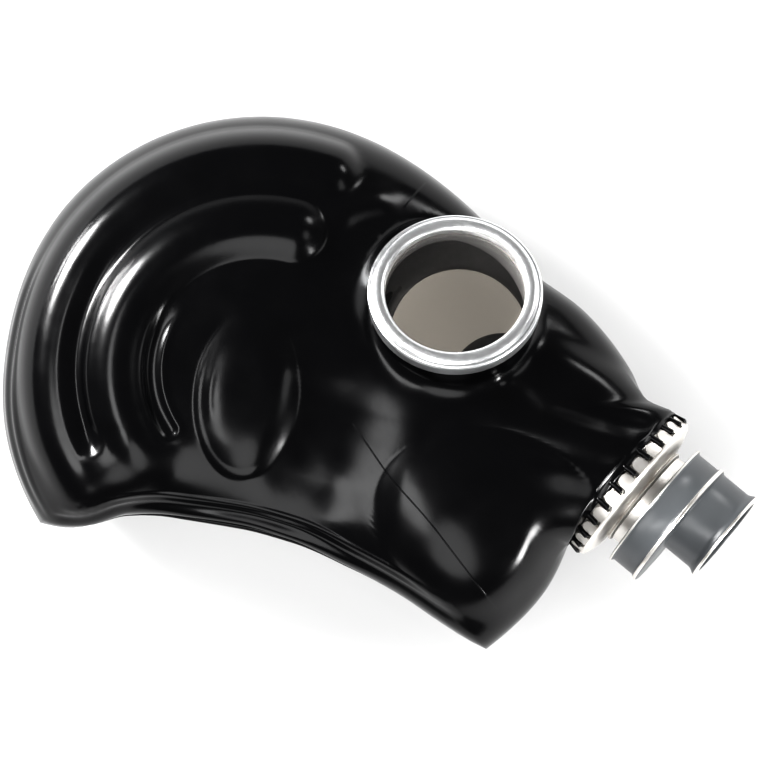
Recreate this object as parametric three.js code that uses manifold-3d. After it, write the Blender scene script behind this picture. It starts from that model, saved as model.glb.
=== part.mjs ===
// A rubber full-head respirator hood, empty, lying on its left side: +X to its front, +Y to its crown and
// +Z up through its right side. Millimetres and degrees. The outline turns about the ear, and the two walls
// of the hood swell from that outline to the right and to the left.
import * as THREE from 'three';
import { mergeVertices } from 'three/addons/utils/BufferGeometryUtils.js';
import Module from 'manifold-3d';

const wasm = await Module();
wasm.setup();

// Driving dimensions of the hood
const WALL = 2;
const GAP = 0.3;
const EAR = { x: -52, y: 5.5, z: 43 };
const EAR_SWELL = { right: 44, left: 50 };
const EDGE_ROUNDNESS = 5;
const RIB_ROUNDNESS = 1.3;
const HEM_GAP = { right: 29, left: 29 };
const HEM_OVERCUT = 6;
const FLOOR_SOFTNESS = 6;

// Driving dimensions of the eyepieces, round an axis that starts at the rim of the rubber cup
const RIGHT_EYE = { x: 29.6, y: 37.5, z: 87, lean: 28.8 };
const LEFT_EYE = { x: 31.7, y: 18.5, lean: 180 };
const CUP = { radius: 33.4, bore: 29.4, depth: 36, clearance: 38.5, recess: 31.6, shelf: 3.6 };
const RING = { outer: 36.7, inner: 29.2, height: 4.4, skirt: 4.2, skirtWall: 1.6, skirtTaper: 0.5 };
const BEZEL = { flangeStart: 0.4, flangeEnd: 1.6, step: 1.6, beadStart: 2.2, throat: 2.4, land: 1.6 };
const LENS = { radius: 31.2, thickness: 2.8 };

// Driving dimensions of the nozzle and the valve, along an axis that starts at the rubber rim
const NOZZLE = { x: 100.2, y: -39.9, z: 44, radius: 35, bore: 32.6, turn: -39.5, rise: 4, lip: 4 };
const TEETH = { count: 24, width: 2.3, root: 1, length: 5.4, inner: 32.7, outer: 35.4 };
const SLOT = { width: 3, inner: 32.4, outer: 37.4 };
const CROWN = { start: 0.3, web: 6, end: 8, top: 10.2, sheet: 1.6, clearance: 36 };
const CROWN_RADII = { outer: 35.1, shoulder: 33.3, band: 33, sleeve: 30.6, hub: 26, bore: 22 };
const SLEEVE_DEPTH = 6;
const NECK = { radius: 21.7, bore: 19, start: 1, end: 20 };
const NECK_BEAD = { radius: 23.2, start: 10.6, end: 12.4, round: 0.4 };
const DRUM = { start: 16.9, end: 31.2, radius: 29.4, wall: 1.6, hole: 22 };
const DRUM_LIP = { height: 1.1, rim: 0.9, slope: 0.8, width: 1.8, round: 0.4 };
const PORT = { offset: 8.8, radius: 19.5, rim: 20.9, bore: 17.9, end: 49.2, flare: 4, lip: 1.4 };
const BORE_OVERCUT = 1;

// Faces round the pieces, and how near two corners lie to be one
const ROUND = { ring: 28, crown: 24, neck: 20, drum: 26, port: 24 };
const WELD = 1e-4;

// Outline and swell of the hood, a row for each section, with the angle about the ear from the front over
// the crown. reach is the outline's distance from the ear and edge its height above the floor. Each wall's
// swell is given half-way out and near the outline.
const SECTION_COLUMNS = ['angle', 'reach', 'edge', 'rightMid', 'rightRim', 'leftMid', 'leftRim'];
const SECTIONS = table(SECTION_COLUMNS, {
  nozzleTop: [-6, 176, 44, 43, 40, 38, 38],
  noseTip: [0, 155.8, 44, 40, 37, 37, 36],
  noseBridge: [10, 139.2, 43.5, 37, 34, 36, 34],
  eyeSide: [20, 121.5, 43, 35, 33, 36, 33],
  brow: [35, 112.6, 42, 36, 36, 38, 35],
  forehead: [55, 108.2, 40, 41, 40, 43, 40],
  crown: [90, 107, 38, 45, 42, 48, 46],
  backTop: [135, 107.3, 38.5, 45, 42, 50, 47],
  back: [170, 106.8, 40, 45, 41, 50, 46],
  backLow: [195, 110.2, 42, 45, 40, 50, 44],
  nape: [214.6, 112.3, 44, 44, 38, 48, 42],
  hemNape: [220, 102.1, 44, 44, 38, 48, 42],
  hemBack: [227, 82.5, 44, 44, 38, 47, 42],
  hemEar: [240, 69.8, 44, 43, 38, 45, 42],
  hemJaw: [262, 64.7, 44, 43, 38, 44, 41],
  hemCheek: [280, 71.4, 44.5, 42, 38, 42, 40],
  hemThroat: [292, 85.6, 45, 42, 37, 40, 38],
  hemChin: [302, 110.5, 45.5, 41, 36, 38, 36],
  chinTip: [309.1, 150.5, 46, 40, 34, 36, 33],
  chin: [322, 151.3, 45, 42, 38, 36, 35],
  nozzleBottom: [331, 148.4, 44, 43, 40, 37, 38],
});
const CORNERS = new Set(['nozzleTop', 'nape', 'chinTip', 'nozzleBottom']);

// Raised ribs, each along an arc about its own centre
const RIB_COLUMNS = ['x', 'y', 'radius', 'start', 'end', 'halfWidth', 'height'];
const RIBS = table(RIB_COLUMNS, {
  outerCrescent: [EAR.x, EAR.y, 90, 70, 212, 13, 5.5],
  innerCrescent: [EAR.x, EAR.y, 62.5, 76, 214, 13.5, 5.5],
  crescentWeb: [EAR.x, EAR.y, 76.5, 215, 226, 10, 4],
  browRoll: [0, 46.7, 30.5, 80, 140, 7, 3],
});

// Rounded pads, each an ellipse with its long axis turned from +X. A higher edge power is softer.
const PAD_COLUMNS = ['x', 'y', 'long', 'short', 'turn', 'height', 'edgePower'];
const PADS = table(PAD_COLUMNS, {
  earCup: [-57, -4, 36, 22, 84, 6, 0.8],
  muzzle: [52, -52, 54, 40, -40, 9, 1.5],
});

// Stretch folds from the eye to the nozzle, each along a straight line
const FOLD_COLUMNS = ['fromX', 'fromY', 'toX', 'toY', 'halfWidth', 'height'];
const FOLDS = table(FOLD_COLUMNS, {
  upperFold: [64, 13, 114, -12, 8, 3],
  lowerFold: [44, 0, 104, -21, 8, 3],
});

// Places of the ring lines, as shares of the way from the ear to the outline, and sections per stretch
const RING_LINES = [0.2, 0.31, 0.4, 0.49, 0.58, 0.66, 0.715, 0.77, 0.84, 0.93, 1];
const STEPS = { top: 29, hem: 10, chin: 3, nozzle: 8 };

const FINISH = {
  rubber: { color: 0x0b0b0c, roughness: 0.22, metalness: 0 },
  polished: { color: 0xd9dbde, roughness: 0.2, metalness: 1 },
  glass: { color: 0xe8eef0, roughness: 0.05, metalness: 0 },
  bright: { color: 0xe4e3df, roughness: 0.3, metalness: 1 },
  grey: { color: 0x8d9094, roughness: 0.45, metalness: 0.2 },
};

function table(columns, rows) {
  const entries = Object.entries(rows).map(([name, values]) => {
    const fields = columns.map((column, i) => [column, values[i]]);
    return [name, Object.fromEntries(fields)];
  });
  return Object.fromEntries(entries);
}

const radians = THREE.MathUtils.degToRad;
const SECTION_ROWS = Object.entries(SECTIONS).map(([name, row]) => ({ ...row, corner: CORNERS.has(name) }));

// Slope of a column at a row, one-sided where the outline has a corner
function slopeAt(rows, i, column, side) {
  const turn = (k) => rows[(k + rows.length) % rows.length];
  const angleOf = (k) => turn(k).angle + 360 * Math.floor(k / rows.length);
  const sharp = column === 'reach' && turn(i).corner;
  const before = sharp && side > 0 ? i : i - 1;
  const after = sharp && side < 0 ? i : i + 1;
  return (turn(after)[column] - turn(before)[column]) / (angleOf(after) - angleOf(before));
}

// A column of the section table at any angle, on a smooth closed curve through the rows
function section(column, angle) {
  const rows = SECTION_ROWS;
  const first = rows[0].angle;
  const wrapped = first + THREE.MathUtils.euclideanModulo(angle - first, 360);
  let i = rows.length - 1;
  while (rows[i].angle > wrapped) i -= 1;
  const next = rows[(i + 1) % rows.length];
  const span = next.angle + (i + 1 === rows.length ? 360 : 0) - rows[i].angle;
  const u = (wrapped - rows[i].angle) / span;
  const rise = next[column] - rows[i][column];
  const startSlope = slopeAt(rows, i, column, 1) * span;
  const endSlope = slopeAt(rows, i + 1, column, -1) * span;
  const cubic = startSlope + endSlope - 2 * rise;
  const square = 3 * rise - 2 * startSlope - endSlope;
  return rows[i][column] + u * (startSlope + u * (square + u * cubic));
}

// The valve's own directions: along its axis, across it in the outline's plane, and across it upward
const valveAxis = new THREE.Vector3(1, 0, 0)
  .applyAxisAngle(new THREE.Vector3(0, -1, 0), radians(NOZZLE.rise))
  .applyAxisAngle(new THREE.Vector3(0, 0, 1), radians(NOZZLE.turn));
const valveSide = new THREE.Vector3(0, 0, 1).cross(valveAxis).normalize();
const valveUp = valveAxis.clone().cross(valveSide);
const nozzleCentre = new THREE.Vector3(NOZZLE.x, NOZZLE.y, NOZZLE.z);

function nozzleRim(angle, upward) {
  const across = valveSide.clone().multiplyScalar(NOZZLE.radius * Math.cos(angle));
  const up = valveUp.clone().multiplyScalar(upward * NOZZLE.radius * Math.sin(angle));
  return nozzleCentre.clone().add(across).add(up);
}

function outlinePoint(angle) {
  const reach = section('reach', angle);
  const x = EAR.x + reach * Math.cos(radians(angle));
  const y = EAR.y + reach * Math.sin(radians(angle));
  return new THREE.Vector3(x, y, section('edge', angle));
}

// Sections round the outline in turn: over the top, along the hem, up the chin and across the nozzle
function outlineStations() {
  const stations = [];
  const stretch = (from, to, steps, open) => {
    for (let i = 0; i < steps; i += 1) {
      const share = i / steps;
      const angle = THREE.MathUtils.lerp(from, to, share);
      const half = open && i > 0 ? Math.sqrt(Math.sin(Math.PI * share)) : 0;
      const right = outlinePoint(angle);
      const left = right.clone();
      right.z += HEM_GAP.right * half;
      left.z -= HEM_GAP.left * half;
      stations.push({ angle, right, left, hem: open, nozzle: false, open: half > 0 });
    }
  };
  stretch(SECTIONS.nozzleTop.angle, SECTIONS.nape.angle, STEPS.top, false);
  stretch(SECTIONS.nape.angle, SECTIONS.chinTip.angle, STEPS.hem, true);
  stretch(SECTIONS.chinTip.angle, SECTIONS.nozzleBottom.angle, STEPS.chin, false);
  for (let i = 0; i < STEPS.nozzle; i += 1) {
    const turn = Math.PI * (1 - i / STEPS.nozzle);
    const right = nozzleRim(turn, 1);
    const left = nozzleRim(turn, -1);
    const angle = THREE.MathUtils.radToDeg(Math.atan2(right.y - EAR.y, right.x - EAR.x));
    stations.push({ angle, right, left, hem: false, nozzle: true, open: i > 0 });
  }
  const start = nozzleRim(0, 1);
  stations[0].right.copy(start);
  stations[0].left.copy(start);
  return stations;
}

// A point of one wall, at a share of the way from the ear to the outline
function wallPoint(side, station, share) {
  const edge = station[side];
  const middle = section('edge', station.angle);
  const mid = section(`${side}Mid`, station.angle) - EAR_SWELL[side];
  const rim = section(`${side}Rim`, station.angle) - EAR_SWELL[side];
  const square = (16 * mid - rim) / 3;
  const swell = EAR_SWELL[side] + square * share ** 2 + (rim - square) * share ** 4;
  const opening = edge.z - middle;
  const closing = share ** EDGE_ROUNDNESS;
  const height = Math.sqrt(swell ** 2 * (1 - closing) + opening ** 2 * closing);
  const centreline = EAR.z + (middle - EAR.z) * share ** 2;
  const x = THREE.MathUtils.lerp(EAR.x, edge.x, share);
  const y = THREE.MathUtils.lerp(EAR.y, edge.y, share);
  return new THREE.Vector3(x, y, centreline + (side === 'right' ? height : -height));
}

function ridge(distance, halfWidth) {
  const share = Math.min(distance / halfWidth, 1);
  return (1 - share ** 2) ** RIB_ROUNDNESS;
}

// Distance from a rib's arc, with the angle counted from the middle of the arc
function arcDistance(rib, x, y) {
  const dx = x - rib.x;
  const dy = y - rib.y;
  const middle = (rib.start + rib.end) / 2;
  const half = (rib.end - rib.start) / 2;
  const angle = THREE.MathUtils.radToDeg(Math.atan2(dy, dx)) - middle;
  const wrapped = THREE.MathUtils.euclideanModulo(angle + 180, 360) - 180;
  const nearest = radians(middle + THREE.MathUtils.clamp(wrapped, -half, half));
  return Math.hypot(dx - rib.radius * Math.cos(nearest), dy - rib.radius * Math.sin(nearest));
}

function lineDistance(fold, x, y) {
  const along = new THREE.Vector2(fold.toX - fold.fromX, fold.toY - fold.fromY);
  const point = new THREE.Vector2(x - fold.fromX, y - fold.fromY);
  const share = THREE.MathUtils.clamp(point.dot(along) / along.lengthSq(), 0, 1);
  return point.addScaledVector(along, -share).length();
}

function padHeight(pad, x, y) {
  const centre = new THREE.Vector2(pad.x, pad.y);
  const turned = new THREE.Vector2(x, y).rotateAround(centre, -radians(pad.turn)).sub(centre);
  const radius = Math.hypot(turned.x / pad.long, turned.y / pad.short);
  return radius < 1 ? pad.height * (1 - radius ** 2) ** pad.edgePower : 0;
}

// Height of the moulded relief over the plain wall
function relief(x, y) {
  let height = 0;
  for (const rib of Object.values(RIBS)) {
    height += rib.height * ridge(arcDistance(rib, x, y), rib.halfWidth);
  }
  for (const fold of Object.values(FOLDS)) {
    height += fold.height * ridge(lineDistance(fold, x, y), fold.halfWidth);
  }
  for (const pad of Object.values(PADS)) {
    height += padHeight(pad, x, y);
  }
  return height;
}

// The rubber lies flat where it meets the floor, with a soft turn up from it
function restOnFloor(z) {
  if (z >= FLOOR_SOFTNESS) return z;
  if (z <= -FLOOR_SOFTNESS) return 0;
  return (z + FLOOR_SOFTNESS) ** 2 / (4 * FLOOR_SOFTNESS);
}

// Both walls as one skin: its points, its triangles and the points of each wall's outermost line
function hoodSkin(stations) {
  const points = [];
  const lines = { right: [], left: [] };
  const addPoint = (point) => points.push(point) - 1;
  const pole = {};
  for (const side of ['right', 'left']) {
    pole[side] = addPoint(wallPoint(side, stations[0], 0));
    RING_LINES.forEach((share, line) => {
      lines[side].push(stations.map((station, s) => {
        const shared = side === 'left' && share === 1 && !station.open;
        return shared ? lines.right[line][s] : addPoint(wallPoint(side, station, share));
      }));
    });
  }
  const triangles = [];
  const count = stations.length;
  for (const side of ['right', 'left']) {
    const add = (a, b, c) => triangles.push(...(side === 'right' ? [a, b, c] : [a, c, b]));
    for (let s = 0; s < count; s += 1) {
      const next = (s + 1) % count;
      add(pole[side], lines[side][0][s], lines[side][0][next]);
      for (let line = 1; line < RING_LINES.length; line += 1) {
        const inner = lines[side][line - 1];
        const outer = lines[side][line];
        add(inner[s], outer[s], outer[next]);
        add(inner[s], outer[next], inner[next]);
      }
    }
  }
  return { points, triangles, rims: { right: lines.right.at(-1), left: lines.left.at(-1) } };
}

function skinNormals(points, triangles) {
  const geometry = new THREE.BufferGeometry().setFromPoints(points);
  geometry.setIndex(triangles);
  geometry.computeVertexNormals();
  const normals = geometry.getAttribute('normal');
  return points.map((_, i) => new THREE.Vector3().fromBufferAttribute(normals, i));
}

// Two triangles across four corners, without one whose corners fall together
function quad(a, b, c, d) {
  const halves = [[a, b, c], [a, c, d]];
  return halves.filter((corners) => new Set(corners).size === corners.length).flat();
}

// Strips that close the neck and the nozzle between the two walls
function capTriangles(rims, stations) {
  const triangles = [];
  const count = stations.length;
  for (let s = 0; s < count; s += 1) {
    const next = (s + 1) % count;
    if (stations[s].open || stations[next].open) {
      triangles.push(...quad(rims.left[s], rims.left[next], rims.right[next], rims.right[s]));
    }
  }
  return triangles;
}

function solidOf(geometry) {
  const plain = geometry.clone();
  plain.deleteAttribute('normal');
  plain.deleteAttribute('uv');
  const merged = mergeVertices(plain, WELD);
  const vertProperties = Float32Array.from(merged.getAttribute('position').array);
  const triVerts = Uint32Array.from(merged.index.array);
  return new wasm.Manifold(new wasm.Mesh({ numProp: 3, vertProperties, triVerts }));
}

function geometryOf(solid) {
  const mesh = solid.getMesh();
  const geometry = new THREE.BufferGeometry();
  geometry.setAttribute('position', new THREE.BufferAttribute(mesh.vertProperties, 3));
  geometry.setIndex(new THREE.BufferAttribute(mesh.triVerts, 1));
  geometry.computeVertexNormals();
  return geometry;
}

function solidFrom(points, triangles) {
  const geometry = new THREE.BufferGeometry().setFromPoints(points);
  geometry.setIndex(triangles);
  return solidOf(geometry);
}

// A frame whose Y axis runs along a piece's own axis
function axisFrame(origin, axis, side) {
  const across = axis.clone().cross(side).normalize();
  return new THREE.Matrix4().makeBasis(across, axis, side).setPosition(origin);
}

// A turned solid from [radius, place along the axis] pairs, outer side first and up
function turned(profile, faces) {
  return new THREE.LatheGeometry(profile.map(([radius, place]) => new THREE.Vector2(radius, place)), faces);
}

function ringProfile(outer, inner, start, end) {
  return [[outer, start], [outer, end], [inner, end], [inner, start], [outer, start]];
}

function discProfile(radius, start, end) {
  return [[0, start], [radius, start], [radius, end], [0, end]];
}

function cut(solid, frame, profile, faces) {
  return solid.subtract(solidOf(turned(profile, faces).applyMatrix4(frame)));
}

function join(solid, frame, profile, faces) {
  return solid.add(solidOf(turned(profile, faces).applyMatrix4(frame)));
}

// A block across the nozzle's rim, in the middle of one of its faces, for one tooth or one slot
function toothBlock(width, end, inner, outer, index) {
  const block = new THREE.BoxGeometry(width, end + TEETH.root, outer - inner);
  block.translate(0, (end - TEETH.root) / 2, (inner + outer) / 2);
  block.rotateY(((index + 0.5) * 2 * Math.PI) / TEETH.count);
  return solidOf(block.applyMatrix4(valveFrame));
}

function eyeFrame(eye, z) {
  const axis = new THREE.Vector3(0, Math.sin(radians(eye.lean)), Math.cos(radians(eye.lean)));
  return axisFrame(new THREE.Vector3(eye.x, eye.y, z), axis, new THREE.Vector3(1, 0, 0));
}

// The left eyepiece lies face down, so its seat is one ring height above the floor
const valveFrame = axisFrame(nozzleCentre, valveAxis, valveSide);
const eyeFrames = { right: eyeFrame(RIGHT_EYE, RIGHT_EYE.z), left: eyeFrame(LEFT_EYE, RING.height) };

// The space inside the walls, carried on past the hem so that the neck is open
function hoodCavity(inner, triangles, rims, stations) {
  const nape = outlinePoint(SECTIONS.nape.angle);
  const chin = outlinePoint(SECTIONS.chinTip.angle);
  const hemOut = new THREE.Vector3(chin.y - nape.y, nape.x - chin.x, 0).setLength(HEM_OVERCUT);
  const points = inner.map((point) => point.clone());
  const cavityTriangles = [...triangles];
  const carried = { right: new Map(), left: new Map() };
  const carry = (side, s) => {
    if (!carried[side].has(s)) {
      const shared = side === 'left' && rims.left[s] === rims.right[s];
      const made = shared ? carry('right', s) : points.push(points[rims[side][s]].clone().add(hemOut)) - 1;
      carried[side].set(s, made);
    }
    return carried[side].get(s);
  };
  const addQuad = (...corners) => cavityTriangles.push(...quad(...corners));
  const count = stations.length;
  for (let s = 0; s < count; s += 1) {
    const next = (s + 1) % count;
    if (stations[s].hem) {
      addQuad(rims.right[s], carry('right', s), carry('right', next), rims.right[next]);
      addQuad(rims.left[s], rims.left[next], carry('left', next), carry('left', s));
      addQuad(carry('left', s), carry('left', next), carry('right', next), carry('right', s));
    } else if (stations[s].nozzle) {
      addQuad(rims.left[s], rims.left[next], rims.right[next], rims.right[s]);
    }
  }
  return solidFrom(points, cavityTriangles);
}

// Two walls with their relief, hollow, with a cup for each eyepiece and a toothed nozzle
function latexHood() {
  const stations = outlineStations();
  const { points, triangles, rims } = hoodSkin(stations);
  const plainNormals = skinNormals(points, triangles);
  const outer = points.map((point, i) => {
    const raised = point.clone().addScaledVector(plainNormals[i], relief(point.x, point.y));
    raised.z = restOnFloor(raised.z);
    return raised;
  });
  for (const rim of Object.values(rims)) {
    rim.forEach((index) => outer[index].copy(points[index]));
  }
  const normals = skinNormals(outer, triangles);
  const inner = outer.map((point, i) => point.clone().addScaledVector(normals[i], -WALL));

  let hood = solidFrom(outer, [...triangles, ...capTriangles(rims, stations)]);
  for (const frame of Object.values(eyeFrames)) {
    hood = join(hood, frame, discProfile(CUP.radius, -CUP.depth, -GAP), ROUND.ring);
  }
  hood = hood.subtract(hoodCavity(inner, triangles, rims, stations));
  for (const frame of Object.values(eyeFrames)) {
    hood = cut(hood, frame, discProfile(CUP.bore, -CUP.depth, RING.height), ROUND.ring);
    hood = cut(hood, frame, discProfile(CUP.recess, -CUP.shelf, RING.height), ROUND.ring);
    hood = cut(hood, frame, discProfile(CUP.clearance, -GAP, CUP.depth), ROUND.ring);
    hood = cut(hood, frame, ringProfile(CUP.clearance, CUP.radius, -RING.skirt - GAP, GAP), ROUND.ring);
  }
  const lip = ringProfile(NOZZLE.radius, NOZZLE.bore, -NOZZLE.lip, 0);
  hood = join(hood, valveFrame, lip, ROUND.crown);
  hood = cut(hood, valveFrame, discProfile(CROWN.clearance, 0, DRUM.start), ROUND.crown);
  for (let i = 0; i < TEETH.count; i += 1) {
    hood = hood.add(toothBlock(TEETH.width, TEETH.length, TEETH.inner, TEETH.outer, i));
  }
  const airway = discProfile(NOZZLE.bore, -NOZZLE.lip * 2, NOZZLE.lip * 2);
  return geometryOf(cut(hood, valveFrame, airway, ROUND.crown));
}

// A bezel with a skirt outside the cup, a thin flange, and a bead in front with a flat land to lie on
function eyeRing() {
  const { outer, inner, height, skirt, skirtWall, skirtTaper } = RING;
  const { flangeStart, flangeEnd, step, beadStart, throat, land } = BEZEL;
  const middle = (outer + inner) / 2;
  return turned([
    [outer - skirtWall, -skirt], [outer - skirtTaper, -skirt], [outer, flangeStart], [outer, flangeEnd],
    [outer - step, beadStart], [middle + land, height], [middle - land, height],
    [inner, throat], [inner, 0], [outer - skirtWall, 0], [outer - skirtWall, -skirt],
  ], ROUND.ring);
}

function eyeLens() {
  return turned(discProfile(LENS.radius, -GAP - LENS.thickness, -GAP), ROUND.ring);
}

// A crown round the lip: a sleeve inside the rubber, a web, and an outer band slotted for the teeth
function clampCrown() {
  const { start, web, end, top, sheet } = CROWN;
  const { outer, shoulder, band, sleeve, hub, bore } = CROWN_RADII;
  const sleeveOuter = NOZZLE.bore - GAP;
  const profile = [
    [sleeve, -SLEEVE_DEPTH], [sleeveOuter, -SLEEVE_DEPTH], [sleeveOuter, web], [band, web], [band, start],
    [outer, start], [outer, web], [shoulder, end], [hub, top], [bore, top],
    [bore, end], [sleeve, end - sheet], [sleeve, -SLEEVE_DEPTH],
  ];
  let crown = solidOf(turned(profile, ROUND.crown).applyMatrix4(valveFrame));
  for (let i = 0; i < TEETH.count; i += 1) {
    crown = crown.subtract(toothBlock(SLOT.width, TEETH.length + GAP, SLOT.inner, SLOT.outer, i));
  }
  return geometryOf(crown);
}

function valveNeck() {
  const { radius, bore, start, end } = NECK;
  const bead = NECK_BEAD;
  return turned([
    [bore, start], [radius, start], [radius, bead.start], [bead.radius, bead.start + bead.round],
    [bead.radius, bead.end - bead.round], [radius, bead.end], [radius, end], [bore, end], [bore, start],
  ], ROUND.neck);
}

// A shallow drum with an off-centre inlet port, bored through from the port's mouth to the neck
function valveBox() {
  const { start, end, radius, wall, hole } = DRUM;
  const waist = radius - DRUM_LIP.height;
  const rimEnd = start + DRUM_LIP.rim;
  const lipStart = end - DRUM_LIP.width;
  const drum = [
    [hole, start], [radius, start], [radius, rimEnd], [waist, rimEnd + DRUM_LIP.slope],
    [waist, lipStart - DRUM_LIP.slope], [radius, lipStart], [radius - DRUM_LIP.round, end],
    [0, end], [0, end - wall], [waist - wall, end - wall], [waist - wall, start + wall], [hole, start + wall],
    [hole, start],
  ];
  const portFrame = valveFrame.clone().multiply(new THREE.Matrix4().makeTranslation(0, 0, PORT.offset));
  const portStart = end - wall / 2;
  const port = [
    [0, portStart], [PORT.radius, portStart], [PORT.radius, PORT.end - PORT.flare],
    [PORT.rim, PORT.end - PORT.lip], [PORT.rim, PORT.end], [0, PORT.end],
  ];
  const bore = discProfile(PORT.bore, end - wall - GAP, PORT.end + BORE_OVERCUT);
  let box = solidOf(turned(drum, ROUND.drum).applyMatrix4(valveFrame));
  box = join(box, portFrame, port, ROUND.port);
  return geometryOf(cut(box, portFrame, bore, ROUND.port));
}

const group = new THREE.Group();

function addPart(name, geometry, finish, frame) {
  const mesh = new THREE.Mesh(geometry, new THREE.MeshStandardMaterial(FINISH[finish]));
  mesh.name = name;
  if (frame) mesh.applyMatrix4(frame);
  group.add(mesh);
}

addPart('latex_hood', latexHood(), 'rubber');
for (const side of ['right', 'left']) {
  addPart(`eye_ring_${side}`, eyeRing(), 'polished', eyeFrames[side]);
  addPart(`eye_lens_${side}`, eyeLens(), 'glass', eyeFrames[side]);
}
addPart('clamp_crown', clampCrown(), 'bright');
addPart('valve_neck', valveNeck(), 'bright', valveFrame);
addPart('valve_box', valveBox(), 'grey');

// The origin is under the middle of the whole object, on the floor
const box = new THREE.Box3().setFromObject(group, true);
const middle = box.getCenter(new THREE.Vector3());
group.position.set(-middle.x, -middle.y, -box.min.z);

export default group;
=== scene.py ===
# %% [markdown]
# # A rubber full-head hood with round eyepieces and a metal valve
# The hood lies empty on its left side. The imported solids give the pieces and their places. This lesson
# works the same outline out again with many more points, adds the finer relief, and then finishes each
# piece.

import math

import bpy
import numpy as np
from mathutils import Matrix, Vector
from mathutils.bvhtree import BVHTree


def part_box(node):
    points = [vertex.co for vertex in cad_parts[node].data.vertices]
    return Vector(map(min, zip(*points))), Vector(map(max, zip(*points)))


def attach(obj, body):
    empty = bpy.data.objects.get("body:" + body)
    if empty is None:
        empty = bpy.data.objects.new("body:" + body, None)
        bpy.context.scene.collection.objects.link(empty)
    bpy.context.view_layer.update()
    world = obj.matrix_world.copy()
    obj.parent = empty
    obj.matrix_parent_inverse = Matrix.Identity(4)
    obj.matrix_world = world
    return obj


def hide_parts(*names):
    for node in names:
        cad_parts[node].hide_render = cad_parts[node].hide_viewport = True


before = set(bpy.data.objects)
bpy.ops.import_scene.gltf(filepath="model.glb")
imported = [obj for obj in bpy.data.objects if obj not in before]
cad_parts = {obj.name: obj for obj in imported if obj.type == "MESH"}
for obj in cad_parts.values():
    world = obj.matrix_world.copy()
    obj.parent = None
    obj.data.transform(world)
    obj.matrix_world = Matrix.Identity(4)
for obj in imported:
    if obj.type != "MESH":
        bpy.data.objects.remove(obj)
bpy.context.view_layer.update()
MM = 0.001

# %% [markdown]
# The sizes below are in the drawing's own frame, whose origin is the middle of the view. The left
# eyepiece lies flat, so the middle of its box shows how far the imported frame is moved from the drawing.

# %% Drawing frame
LEFT_EYE = np.array([31.7, 18.5, 4.4])
ring_low, ring_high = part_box("eye_ring_left")
ring_middle = (np.array(ring_low) + np.array(ring_high)) / 2 / MM
SHIFT = np.array([ring_middle[0] - LEFT_EYE[0], ring_middle[1] - LEFT_EYE[1], 0.0])
print("drawing moved by", SHIFT.round(3), "mm")

# %% [markdown]
# Every piece is a mesh made from arrays of points in millimetres. One function turns them into an object
# that stands for its solid and rides with the body.

# %% Making a piece
SMOOTH_LIMIT = math.radians(38)


def make_piece(name, points, faces, slot, node, sharp=SMOOTH_LIMIT):
    mesh = bpy.data.meshes.new(name)
    mesh.from_pydata(((points + SHIFT) * MM).tolist(), [], faces)
    mesh.validate()
    mesh.shade_smooth()
    if sharp:
        mesh.set_sharp_from_angle(angle=sharp)
    piece = bpy.data.objects.new(name, mesh)
    bpy.context.scene.collection.objects.link(piece)
    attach(piece, "root")
    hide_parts(node)
    print(name, len(points), "points,", len(faces), "faces")
    return piece


class Parts:
    """Points and faces gathered from several surfaces that make one piece."""

    def __init__(self):
        self.points = []
        self.faces = []
        self.count = 0

    def add(self, points, faces):
        self.points.append(np.asarray(points, float))
        self.faces += [[index + self.count for index in face] for face in faces]
        self.count += len(points)

    def all_points(self):
        return np.concatenate(self.points)


# %% [markdown]
# The hood is moulded round a head form. Its outline turns about the ear, and each wall swells from that
# outline, so a short table of sections with a smooth curve through them gives the whole skin. A sculpted
# mesh could look as good, but then no size could be read or changed.

# %% Sections of the hood
EAR = np.array([-52.0, 5.5, 43.0])
COLUMNS = ("angle", "reach", "edge", "right_mid", "right_rim", "left_mid", "left_rim")
SECTIONS = {
    "nozzle_top": (-6, 176, 44, 43, 40, 38, 38),
    "nozzle_waist": (-5.4, 166.5, 44, 42.7, 39.7, 37.9, 37.8),
    "snout_top": (-3.4, 160.6, 44, 41.7, 38.7, 37.6, 37.1),
    "nose_tip": (0, 155.8, 44, 40, 37, 37, 36),
    "nose_bridge": (10, 139.2, 43.5, 37, 34, 36, 34),
    "eye_side": (20, 121.5, 43, 35, 33, 36, 33),
    "brow": (35, 112.6, 42, 36, 36, 38, 35),
    "forehead": (55, 108.2, 40, 41, 40, 43, 40),
    "crown": (90, 107, 38, 45, 42, 48, 46),
    "back_top": (135, 107.3, 38.5, 45, 42, 50, 47),
    "back": (170, 106.8, 40, 45, 41, 50, 46),
    "back_low": (195, 110.2, 42, 45, 40, 50, 44),
    "nape": (214.6, 112.3, 44, 44, 38, 48, 42),
    "hem_nape": (220, 102.1, 44, 44, 38, 48, 42),
    "hem_back": (227, 82.5, 44, 44, 38, 47, 42),
    "hem_ear": (240, 69.8, 44, 43, 38, 45, 42),
    "hem_jaw": (262, 64.7, 44, 43, 38, 44, 41),
    "hem_cheek": (280, 71.4, 44.5, 42, 38, 42, 40),
    "hem_throat": (292, 85.6, 45, 42, 37, 40, 38),
    "hem_chin": (302, 110.5, 45.5, 41, 36, 38, 36),
    "chin_tip": (309.1, 150.5, 46, 40, 34, 36, 33),
    "chin": (322, 151.3, 45, 42, 38, 36, 35),
    "nozzle_bottom": (331, 148.4, 44, 43, 40, 37, 38),
}
ROWS = len(SECTIONS)
section_rows = np.array(list(SECTIONS.values()), float)
section_table = {column: section_rows[:, i] for i, column in enumerate(COLUMNS)}
print(ROWS, "sections round the ear")

# %% [markdown]
# Between its rows each column follows a smooth closed curve. Only the outline's reach has corners, at the
# nozzle, the nape and the chin, and there its slope may differ on the two sides.

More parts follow.
